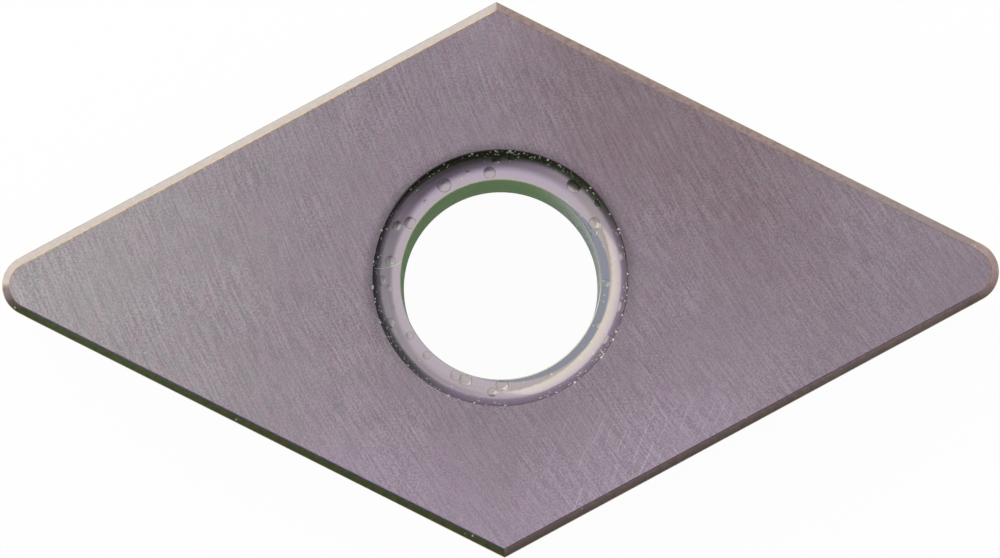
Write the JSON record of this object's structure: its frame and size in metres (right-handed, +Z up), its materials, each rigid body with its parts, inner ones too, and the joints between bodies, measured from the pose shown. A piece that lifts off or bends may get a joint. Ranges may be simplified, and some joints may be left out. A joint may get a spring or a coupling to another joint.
{
  "type": "ceramic turning insert",
  "caption": "Rhombic double-sided cutting insert with narrow edge lands, rounded noses and a bore that opens into a coved mouth at each face.",
  "frame": {"origin": "on the bore's axis at the lower face, which the insert lies on", "axes": "+X along the long diagonal towards a nose, +Y along the short diagonal, +Z up the bore"},
  "size_m": [0.0256, 0.0144, 0.0048],
  "materials": {
    "coated_ceramic": "ground ceramic under a thin hard coating, satin mauve grey"
  },
  "bodies": {
    "root": {"turning_insert": "coated_ceramic"}
  },
  "joints": []
}
